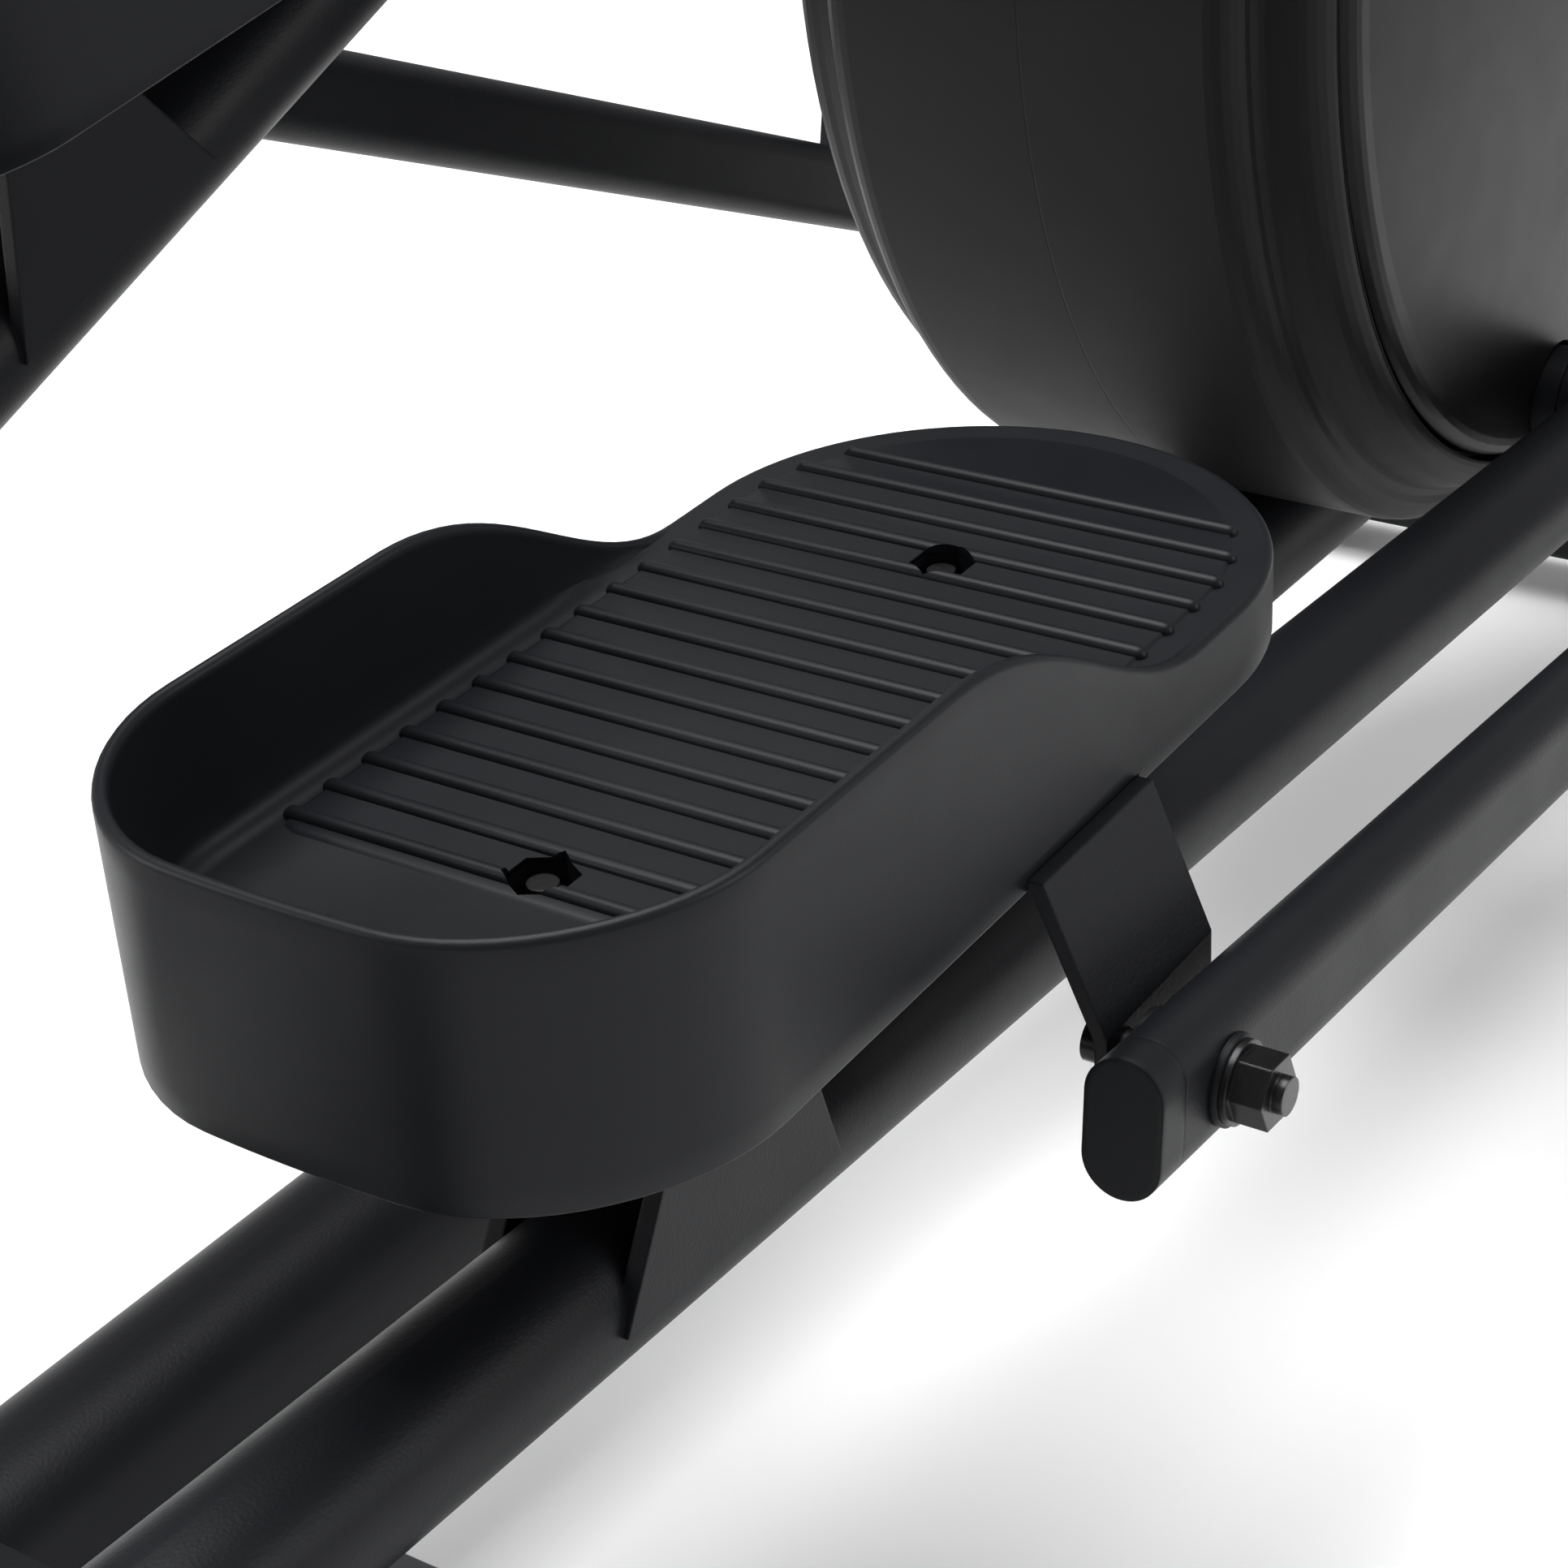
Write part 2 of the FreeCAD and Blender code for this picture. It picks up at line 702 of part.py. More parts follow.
# ---- swing arms ----------------------------------------------------------------------------------
def swing_arm_shape():
    """The lower swing arm about its pivot, hanging along -Z, its plane at Y = 0."""
    reach = swing_reach()
    half = swing_hub_length / 2
    lower = tube(Vector(0, 0, -swing_hub_radius + 3), Vector(0, 0, -reach + swing_end_gap),
                 swing_tube_radius, swing_wall)
    upper = tube(Vector(0, 0, swing_hub_radius - 3), Vector(0, 0, 90), swing_tube_radius, swing_wall)
    hub = cross_rod(0, 0, swing_hub_radius, -half, half)
    y1 = -link_width / 2 - swing_plate_gap - 2
    y0 = y1 - swing_plate_thickness
    plate = block(-swing_tube_radius, swing_tube_radius, y0, y1, -reach, -reach + swing_end_gap + 60)
    plate_end = cross_rod(0, -reach, swing_tube_radius, y0, y1)
    stub = ring(0, -reach, 11, 0.5, y0 - 9, y0)
    shape = one([lower, upper, hub, plate, plate_end, stub])
    return shape.cut(cross_rod(0, 0, swing_axle_radius + bearing_gap, -60, 60))


def handle_points():
    return [Vector(0, 0, 60), Vector(0, 0, 175), Vector(-150, -16, 380), Vector(-232, -24, 545)]


def handlebar_shape():
    return bent_tube(handle_points(), 85, handle_radius, 2.0)


def grip_shape():
    *_, corner, end = handle_points()
    along = corner.sub(end).normalize()
    start = end.add(along * 128)
    outer = rod(end.sub(along * 8), start, grip_radius)
    return outer.cut(rod(end, start.add(along), handle_radius))


def swing_part(shape, side):
    moved = shape.copy()
    moved.translate(Vector(0, -link_lateral, 0))
    result = moved if side < 0 else mirrored(moved)
    result.rotate(Vector(0, 0, 0), Y, swing_lean(side))
    result.translate(Vector(swing_x, 0, swing_z))
    return result


# ---- mast, console -------------------------------------------------------------------------------
def mast_lean():
    """Run backwards per unit of rise, so that the mast's axis passes the swing axle."""
    return (mast_x - swing_x) / (swing_z - mast_bend_z)


def mast_top():
    return Vector(mast_x - mast_lean() * (mast_top_z - mast_bend_z), 0, mast_top_z)


def mast_points():
    return [Vector(mast_x, 0, beam_z(mast_x)), Vector(mast_x, 0, mast_bend_z), mast_top()]


def mast():
    shape = bent_tube(mast_points(), mast_bend_radius, mast_radius, mast_wall)
    shape = shape.cut(beam_rod())
    return shape.cut(cross_rod(swing_x, swing_z, swing_axle_radius, -60, 60))


def swing_axle():
    half = link_lateral + swing_hub_length / 2
    shaft = cross_rod(swing_x, swing_z, swing_axle_radius, -half - 6, half + 6)
    caps = []
    for side in (-1, 1):
        y0, y1 = sorted((side * (half + 1), side * (half + 9)))
        caps.append(cross_rod(swing_x, swing_z, swing_hub_radius - 2, y0, y1))
    collars = []
    for side in (-1, 1):
        inner = link_lateral - swing_hub_length / 2
        y0, y1 = sorted((side * (inner - 9), side * (inner - 1)))
        collars.append(cross_rod(swing_x, swing_z, swing_axle_radius + 6, y0, y1))
    return one([shaft] + caps + collars)


def console_place(shape):
    shape.rotate(Vector(0, 0, 0), Y, -console_tilt)
    shape.translate(mast_top().add(Vector(-6, 0, 22)))
    return shape


def console_body():
    half_w = console_width / 2
    half_h = console_height / 2
    body = block(-console_depth, 0, -half_w, half_w, -half_h, half_h)
    body = body.makeFillet(10, [e for e in body.Edges])
    window = block(-console_depth - 1, -console_depth + 3, -80, 80, -8, 64)
    wells = [cross_place(y, 12.2) for y in button_lateral()]
    body = body.cut(window)
    for well in wells:
        body = body.cut(well)
    cone = Part.makeCylinder(mast_radius + 6, 60, Vector(-console_depth / 2, 0, -half_h - 30), Z)
    return body.fuse(cone).removeSplitter()


def button_lateral():
    return (-46.0, 46.0)


def cross_place(y, radius):
    """A button well along the console's depth."""
    return Part.makeCylinder(radius, 12, Vector(-console_depth - 1, y, -52), X)


def console():
    shape = console_place(console_body())
    return shape.cut(swept(bent_wire(mast_points(), mast_bend_radius), mast_radius))


def console_screen():
    return console_place(block(-console_depth + 0.5, -console_depth + 3, -80, 80, -8, 64))


def console_button(y):
    button = Part.makeCylinder(11.5, 9, Vector(-console_depth - 3, y, -52), X)
    return console_place(button)


def fixed_bar_points(side):
    base = mast_top().add(Vector(0.45 * 120, 0, -120))
    return [base.add(Vector(0, side * (mast_radius - 6), 0)), base.add(Vector(-20, side * 150, 20)),
            base.add(Vector(-190, side * 178, 80))]


def fixed_handlebar():
    bars = [swept(bent_wire(fixed_bar_points(side), 60), fixed_bar_radius) for side in (-1, 1)]
    mast_solid = swept(bent_wire(mast_points(), mast_bend_radius), mast_radius)
    return group([bar.cut(mast_solid) for bar in bars])


def fixed_grips():
    grips = []
    for side in (-1, 1):
        *_, corner, end = fixed_bar_points(side)
        along = corner.sub(end).normalize()
        outer = rod(end.sub(along * 6), end.add(along * 110), fixed_bar_radius + 4)
        grips.append(outer.cut(rod(end, end.add(along * 111), fixed_bar_radius)))
    return group(grips)


# ---- drive housing -------------------------------------------------------------------------------
def housing_profile(grow):
    """Outer line of the right shell from the centre seam to the ring's inner lip."""
    r = drum_radius - grow
    w = drum_half_width
    edge = []
    for i in range(7):
        angle = math.radians(15 * i)
        edge.append((w - 12 + 12 * math.sin(angle), r - 12 + 12 * math.cos(angle)))
    crease = [(w + 1.5, r - 15), (w + 3.5, r - 16)]
    bulge = []
    for i in range(7):
        angle = math.radians(15 * i)
        bulge.append((ring_lateral - 13 + 13 * math.sin(angle), r - 31 + 13 * math.cos(angle)))
    return [(0, r)] + edge + crease + bulge


def housing_half():
    outer = housing_profile(0)
    gap_radius = disc_radius + 3
    wall_lateral = disc_back_lateral - 4
    last_lateral, last_radius = outer[-1]
    rim = [(last_lateral, gap_radius), (wall_lateral, gap_radius), (wall_lateral, 30)]
    inner = [(wall_lateral - skin, 30), (wall_lateral - skin, gap_radius + skin - 1),
             (wall_lateral - skin, drum_radius - 24), (drum_half_width - skin, drum_radius - 16),
             (drum_half_width - 14, drum_radius - skin), (0, drum_radius - skin)]
    shell = revolved(outer + rim + inner)
    slot = block(crank_x - 74, crank_x + 154, -core_plate_thickness / 2 - 1, 1,
                 crank_z - drum_radius - 5, crank_z - drum_radius + 60)
    return shell.cut(beam_rod(1.0)).cut(slot)


def disc_profile():
    """A shallow dome with a rolled rim."""
    points = [(disc_back_lateral, disc_radius)]
    for i in range(5):
        angle = math.radians(22.5 * i)
        points.append((disc_rim_lateral - 8 + 8 * math.sin(angle), disc_radius - 8 + 8 * math.cos(angle)))
    steps = 10
    inner_radius = disc_radius - 14
    for i in range(steps + 1):
        r = inner_radius * (1 - i / steps)
        rise = (dome_lateral - disc_rim_lateral) * (1 - (r / inner_radius) ** 2)
        points.append((disc_rim_lateral + rise, r))
    back = [(lateral - disc_skin, r) for lateral, r in reversed(points[6:])]
    return points + back + [(disc_rim_lateral - disc_skin - 2, disc_radius - disc_skin - 4),
                            (disc_back_lateral, disc_radius - disc_skin)]


def crank_disc(side):
    shape = revolved(disc_profile())
    x, z = crank_pin(side)
    if side > 0:
        shape = mirrored(shape)
    return shape.cut(cross_rod(x, z, 24, -150, 150))


def crank_arms():
    """Steel crank arms on both ends of the axle, each with a pin boss through its disc."""
    arms = []
    for side in (-1, 1):
        x, z = crank_pin(side)
        y0, y1 = sorted((side * 98.5, side * 107))
        axis = Vector(x - crank_x, 0, z - crank_z)
        angle = math.degrees(math.atan2(axis.z, axis.x))
        bar = block(0, crank_radius, y0, y1, -16, 16)
        bar.rotate(Vector(0, 0, 0), Y, -angle)
        bar.translate(Vector(crank_x, 0, crank_z))
        eye = cross_rod(crank_x, crank_z, 22, y0, y1)
        b0, b1 = sorted((side * 98.5, side * (hub_inner_lateral - 1.5)))
        boss = cross_rod(x, z, 22, b0, b1)
        arms.append(one([bar, eye, boss]).cut(cross_rod(crank_x, crank_z, crank_axle_radius, -150, 150)))
    return group(arms)


def crank_axle():
    return cross_rod(crank_x, crank_z, crank_axle_radius, -107, 107)


def drive_pulley():
    y0 = pulley_lateral - pulley_width / 2
    y1 = y0 + pulley_width
    body = cross_rod(crank_x, crank_z, pulley_radius, y0, y1)
    web = ring(crank_x, crank_z, pulley_radius - 12, 30, y0 + 9, y1 + 1)
    body = body.cut(web)
    for i in range(6):
        dx, dz = turned(78, 0, 60 * i)
        body = body.cut(cross_rod(crank_x + dx, crank_z + dz, 24, y0 - 1, y1 + 1))
    return body.cut(cross_rod(crank_x, crank_z, crank_axle_radius, y0 - 1, y1 + 1))


def flywheel():
    y = -flywheel_lateral
    half = flywheel_width / 2
    wheel = cross_rod(flywheel_x, flywheel_z, flywheel_radius, y - half, y + half)
    for y0, y1 in ((y - half - 1, y - 6), (y + 6, y + half + 1)):
        wheel = wheel.cut(ring(flywheel_x, flywheel_z, flywheel_radius - 22, 24, y0, y1))
    p0 = pulley_lateral - pulley_width / 2
    shaft = cross_rod(flywheel_x, flywheel_z, flywheel_shaft_radius, y - half - 4, p0 + pulley_width + 4)
    small = cross_rod(flywheel_x, flywheel_z, flywheel_pulley_radius, p0, p0 + pulley_width)
    return one([wheel, shaft, small])


def belt_loop(grow, y0, y1):
    """The belt's outline round the two pulleys, as the hull of two discs."""
    big = pulley_radius + grow
    small = flywheel_pulley_radius + grow
    dx = flywheel_x - crank_x
    dz = flywheel_z - crank_z
    span = math.hypot(dx, dz)
    base = math.atan2(dz, dx)
    spread = math.acos((big - small) / span)
    corners = []
    for centre_x, centre_z, r, sign in ((crank_x, crank_z, big, 1), (flywheel_x, flywheel_z, small, 1),
                                        (flywheel_x, flywheel_z, small, -1), (crank_x, crank_z, big, -1)):
        angle = base + sign * spread
        corners.append((centre_x + r * math.cos(angle), centre_z + r * math.sin(angle)))
    return one([cross_rod(crank_x, crank_z, big, y0, y1), cross_rod(flywheel_x, flywheel_z, small, y0, y1),
                plate_xz(corners, y0, y1)])


def drive_belt():
    y0 = pulley_lateral - pulley_width / 2 + 1
    y1 = y0 + pulley_width - 2
    outer = belt_loop(belt_gap + belt_thickness, y0, y1)
    return outer.cut(belt_loop(belt_gap, y0 - 1, y1 + 1))


def idler_place():
    """Outside the belt's upper run, halfway along it."""
    dx = flywheel_x - crank_x
    dz = flywheel_z - crank_z
    span = math.hypot(dx, dz)
    base = math.atan2(dz, dx)
    spread = math.acos((pulley_radius - flywheel_pulley_radius) / span)
    angle = base - spread
    out = belt_gap + belt_thickness + 0.4 + idler_radius
    foot_x = crank_x + pulley_radius * math.cos(angle) + 0.62 * (dx + (flywheel_pulley_radius - pulley_radius)
                                                                * math.cos(angle))
    foot_z = crank_z + pulley_radius * math.sin(angle) + 0.62 * (dz + (flywheel_pulley_radius - pulley_radius)
                                                                * math.sin(angle))
    return foot_x + out * math.cos(angle), foot_z + out * math.sin(angle)


def idler_pulley():
    x, z = idler_place()
    y0 = pulley_lateral - pulley_width / 2
    return ring(x, z, idler_radius, 4 + bearing_gap, y0, y0 + pulley_width)


def core_plate():
    """The steel plate that carries the crank bearings, the flywheel and the idler."""
    half = core_plate_thickness / 2
    ix, iz = idler_place()
    outline = [(crank_x - 70, beam_z(crank_x - 70)), (crank_x + 150, beam_z(crank_x + 150)),
               (ix + 24, iz), (flywheel_x + 34, flywheel_z + 24), (flywheel_x - 30, flywheel_z + 34),
               (crank_x - 44, crank_z + 30)]
    plate = plate_xz(outline, -half, half)
    shell = cross_rod(crank_x, crank_z, 24, -32, 32)
    boss = cross_rod(flywheel_x, flywheel_z, 16, -16, 16)
    idler_pin = cross_rod(ix, iz, 4, 0, pulley_lateral + pulley_width / 2 + 2)
    shape = one([plate, shell, boss, idler_pin])
    shape = shape.cut(cross_rod(crank_x, crank_z, 20, -33, 33))
    shape = shape.cut(cross_rod(flywheel_x, flywheel_z, flywheel_shaft_radius + bearing_gap, -40, 40))
    pivot_x, pivot_z = brake_pivot()
    shape = shape.cut(cross_rod(pivot_x, pivot_z, 5 + bearing_gap, -10, 10))
    return shape.cut(beam_rod())


def crank_bearings():
    return group([ring(crank_x, crank_z, 20, crank_axle_radius + bearing_gap, y0, y0 + 12)
                  for y0 in (-30, 18)])


def brake_pivot():
    return flywheel_x - 30, flywheel_z - 150


def brake_arm():
    """A curved magnet carrier round the flywheel's lower rim, on a pivot pin in the core plate."""
    y = -flywheel_lateral
    inner = flywheel_radius + 3
    carrier = ring(flywheel_x, flywheel_z, inner + 8, inner, y - 11, y + 11)
    keep = plate_xz([(flywheel_x, flywheel_z), (flywheel_x - 75, flywheel_z - 150),
                     (flywheel_x + 60, flywheel_z - 150)], y - 12, y + 12)
    carrier = carrier.common(keep)
    px, pz = brake_pivot()
    strut = block(px - 8, px + 8, y - 5, y + 5, pz - 8, flywheel_z - inner - 3)
    strut = strut.cut(cross_rod(flywheel_x, flywheel_z, inner + 2, y - 20, y + 20))
    pin = cross_rod(px, pz, 5, y + 4, 6)
    return one([carrier, strut, pin])


def tension_knob():
    dial = Part.makeCylinder(22, 20, Vector(0, 0, 0), Z)
    dial = dial.makeFillet(3, [e for e in dial.Edges if e.Curve.TypeId == "Part::GeomCircle"])
    for i in range(12):
        angle = math.radians(30 * i)
        centre = Vector(24 * math.cos(angle), 24 * math.sin(angle), -1)
        dial = dial.cut(Part.makeCylinder(4, 24, centre, Z))
    facing = knob_facing()
    dial.rotate(Vector(0, 0, 0), Y, math.degrees(math.atan2(facing.x, facing.z)))
    dial.translate(knob_base())
    return dial


def knob_facing():
    """Square to the mast, towards the user."""
    return Vector(-1, 0, -mast_lean()).normalize()


def knob_base():
    axis_point = Vector(mast_x - mast_lean() * (knob_z - mast_bend_z), 0, knob_z)
    return axis_point.add(knob_facing() * (mast_radius + 1))


def transport_wheel(side):
    y = side * wheel_lateral
    x = wheel_x()
    half = wheel_width / 2
    wheel = ring(x, wheel_z(), wheel_radius, 5 + bearing_gap, y - half, y + half)
    return wheel.cut(ring(x, wheel_z(), wheel_radius - 7, 12, y + half - 3, y + half + 1))


def wheel_x():
    return stabilizer_x - stabilizer_radius - wheel_radius - 6


def wheel_z():
    return wheel_radius + 3.5


def wheel_forks():
    """A fork and axle for each transport wheel, behind the front stabilizer."""
    forks = []
    for side in (-1, 1):
        y = side * wheel_lateral
        axle = cross_rod(wheel_x(), wheel_z(), 5, y - wheel_width / 2 - 7, y + wheel_width / 2 + 7)
        cheeks = []
        for y0 in (y - wheel_width / 2 - 6, y + wheel_width / 2 + 2):
            cheek = plate_xz([(wheel_x() - 12, wheel_z() - 12), (stabilizer_x, wheel_z() - 12),
                              (stabilizer_x, wheel_z() + 26), (wheel_x() - 12, wheel_z() + 14)], y0, y0 + 4)
            cheeks.append(cheek)
        forks.append(one([axle] + cheeks).cut(stabilizer_rod(stabilizer_x)))
    return group(forks)


# ---- all nodes -----------------------------------------------------------------------------------
def nodes():
    made = {
        "main_beam": main_beam(), "front_leg": front_leg(), "rear_stabilizer": stabilizer(-stabilizer_x),
        "front_stabilizer": stabilizer(stabilizer_x), "stabilizer_caps": stabilizer_caps(),
        "rail_frame": rail_frame(), "track_stops": track_stops(), "mast": mast(), "swing_axle": swing_axle(),
        "tracks": group([track(-1), track(1)]), "transport_wheel_forks": wheel_forks(),
        "housing_right": housing_half(), "housing_left": mirrored(housing_half()), "console": console(),
        "console_screen": console_screen(), "fixed_handlebar": fixed_handlebar(),
        "fixed_grips": fixed_grips(), "core_plate": core_plate(), "crank_bearings": crank_bearings(),
        "drive_belt": drive_belt(), "crank_axle": crank_axle(), "crank_arms": crank_arms(),
        "drive_pulley": drive_pulley(), "flywheel": flywheel(), "idler_pulley": idler_pulley(),
        "brake_arm": brake_arm(), "tension_knob": tension_knob(),
        "start_button": console_button(button_lateral()[0]), "mode_button": console_button(button_lateral()[1])}
    for name, side in (("right", -1), ("left", 1)):
        made[name + "_crank_disc"] = crank_disc(side)
        made[name + "_transport_wheel"] = transport_wheel(side)
        made[name + "_roller_axle"] = roller_axle(side)
        made[name + "_roller"] = roller(side)
        made[name + "_arm"] = arm(side)
        made[name + "_pedal"] = pedal_part(pedal_shape(), side)
        made[name + "_pedal_plate"] = pedal_part(plate_shape(), side)
        made[name + "_pedal_bolts"] = pedal_part(pedal_bolt_shapes(), side)
        made[name + "_link_tube"] = link_part(link_tube_shape(), side)
        made[name + "_link_caps"] = link_part(link_cap_shape(), side)
        made[name + "_link_bushes"] = link_part(link_bush_shape(), side)
        made[name + "_link_bolt"] = link_part(link_bolt_shape(), side)
        made[name + "_swing_arm"] = swing_part(swing_arm_shape(), side)
        made[name + "_handlebar"] = swing_part(handlebar_shape(), side)
        made[name + "_grip"] = swing_part(grip_shape(), side)
    return made


os.makedirs("parts", exist_ok=True)
for node, shape in nodes().items():
    shape.exportStep("parts/" + node + ".step")
for label, side in (("right", -1), ("left", 1)):
    places = (roller_x(side), roller_axle_z, arm_tilt(side)) + pedal_pivot(side) + link_pin(side)
    places += link_front(side) + (link_tilt(side), swing_lean(side))
    print(label, "roller x z, arm tilt, pedal pivot, link pin, link front, link tilt, swing lean:",
          [round(value, 4) for value in places])
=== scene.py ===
import json
import math
import bmesh
import bpy
from mathutils import Matrix, Vector


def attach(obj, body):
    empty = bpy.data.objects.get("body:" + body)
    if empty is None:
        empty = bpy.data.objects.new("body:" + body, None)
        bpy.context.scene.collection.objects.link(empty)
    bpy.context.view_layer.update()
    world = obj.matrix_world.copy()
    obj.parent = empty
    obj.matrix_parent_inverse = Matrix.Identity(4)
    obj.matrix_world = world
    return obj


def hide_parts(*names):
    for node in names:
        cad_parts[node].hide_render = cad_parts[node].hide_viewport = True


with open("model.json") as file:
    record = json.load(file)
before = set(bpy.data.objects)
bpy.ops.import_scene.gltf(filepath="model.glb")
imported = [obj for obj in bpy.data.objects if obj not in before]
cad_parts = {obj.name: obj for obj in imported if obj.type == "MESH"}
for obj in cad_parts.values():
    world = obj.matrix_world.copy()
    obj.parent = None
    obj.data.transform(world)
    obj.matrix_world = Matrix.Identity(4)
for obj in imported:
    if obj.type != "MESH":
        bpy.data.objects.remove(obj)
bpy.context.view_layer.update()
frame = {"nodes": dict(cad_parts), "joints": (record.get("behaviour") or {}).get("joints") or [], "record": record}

# Elliptical trainer. Metres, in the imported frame: +X to the drive housing, +Z up, floor at 0.
MM = 0.001
# side's name, sign of its Y, and how far its pedal leans toe up, in degrees
SIDES = (("right", -1.0, 6.1), ("left", 1.0, 14.5))

# pedal sizes in millimetres, in the pedal's own frame: u to the toe, v to the left, w up
HALF_WIDTH = 84.0
TOE = 165.0
HEEL = 208.0
HEEL_CORNER = 56.0
HEEL_BOW = 9.0
FLOOR = -3.0
FLOOR_UNDER = -8.0
WALL = 4.0
RIM = 42.0
RIM_CURVE = (-66.0, -14.0, 16.0, 58.0)      # the four poles' u along the rim's S-curve
BOTTOM = -27.0
PIVOT_U = -88.0
PIVOT_W = -40.0
PEDAL_LATERAL = 139.0
RIBS = 17
RIB_PITCH = 15.0
RIB_HALF = 74.5
SCREWS = (-115.5, 67.5)
SCREW_RECESS = 16.5                         # across the flats of the six-sided hole
BOSS_PROFILE = ((FLOOR_UNDER + 0.5, 12.5), (-23.5, 12.0), (-23.5, 6.0), (-15.0, 6.0), (-15.0, 10.4),
                (FLOOR_UNDER + 0.5, 10.4))  # height and radius round one screw boss
EAR_U = -7.0
EAR_HALF = 29.0

# share of its full section that a rib keeps, by distance from its end
RIB_END = ((0.0, 0.15), (0.5, 0.62), (1.6, 0.92), (3.0, 1.0))
RIB_SECTION = (2.6, 3.0)                    # half width and height
BORDER_INSET = 2.0

CAMERA_PLACE = (-0.775, -0.557, 0.649)
CAMERA_FORWARD = (0.7620, 0.4948, -0.4179)
CAMERA_LENS = 74.9
CAMERA_SENSOR = 36.0
FLOOR_REACH = 30.0
WORLD_STRENGTH = 0.42
RAMP_ENDS = (0.3, 0.7)


# ---- materials -----------------------------------------------------------------------------------
def new_material(name, color, roughness, metallic=0.0, specular=0.14):
    mat = bpy.data.materials.new(name)
    mat.use_nodes = True
    tree = mat.node_tree
    shader = tree.nodes["Principled BSDF"]
    shader.inputs["Base Color"].default_value = (*color, 1.0)
    shader.inputs["Roughness"].default_value = roughness
    shader.inputs["Metallic"].default_value = metallic
    shader.inputs["Specular IOR Level"].default_value = specular
    return mat, tree, shader


def noise(tree, scale, detail=3.0, stretch=(1, 1, 1)):
    coord = tree.nodes.new("ShaderNodeTexCoord")
    mapping = tree.nodes.new("ShaderNodeMapping")
    mapping.inputs["Scale"].default_value = stretch
    tex = tree.nodes.new("ShaderNodeTexNoise")
    tex.inputs["Scale"].default_value = scale
    tex.inputs["Detail"].default_value = detail
    tree.links.new(coord.outputs["Object"], mapping.inputs["Vector"])
    tree.links.new(mapping.outputs["Vector"], tex.inputs["Vector"])
    return tex.outputs["Fac"]


def ramp(tree, source, low, high):
    node = tree.nodes.new("ShaderNodeValToRGB")
    for element, place, color in zip(node.color_ramp.elements, RAMP_ENDS, (low, high)):
        element.position = place
        element.color = (*color, 1.0)
    tree.links.new(source, node.inputs["Fac"])
    return node.outputs["Color"]


def span(tree, source, low, high):
    node = tree.nodes.new("ShaderNodeMapRange")
    node.inputs["To Min"].default_value = low
    node.inputs["To Max"].default_value = high
    tree.links.new(source, node.inputs["Value"])
    return node.outputs["Result"]


def bump(tree, shader, source, depth, rounding=0.0):
    node = tree.nodes.new("ShaderNodeBump")
    node.inputs["Strength"].default_value = 1.0
    node.inputs["Distance"].default_value = depth
    tree.links.new(source, node.inputs["Height"])
    if rounding:
        bevel = tree.nodes.new("ShaderNodeBevel")
        bevel.samples = 4
        bevel.inputs["Radius"].default_value = rounding
        tree.links.new(bevel.outputs["Normal"], node.inputs["Normal"])
    tree.links.new(node.outputs["Normal"], shader.inputs["Normal"])


def grained(name, low, high, rough, grain, depth, rounding=0.0, metallic=0.0, specular=0.14,
            stretch=(1, 1, 1)):
    """Slow colour and gloss drift under a fine surface grain."""
    mat, tree, shader = new_material(name, low, rough[0], metallic, specular)
    drift = noise(tree, 9.0, 2.0)
    tree.links.new(ramp(tree, drift, low, high), shader.inputs["Base Color"])
    tree.links.new(span(tree, noise(tree, 45.0, 4.0), *rough), shader.inputs["Roughness"])
    bump(tree, shader, noise(tree, grain, 4.0, stretch), depth, rounding)
    return mat


def screen_material():
    mat, tree, shader = new_material("screen", (0.02, 0.03, 0.03), 0.12)
    tree.links.new(ramp(tree, noise(tree, 30.0), (0.016, 0.024, 0.026), (0.024, 0.036, 0.038)),
                   shader.inputs["Base Color"])
    bump(tree, shader, noise(tree, 200.0), 0.00001)
    return mat


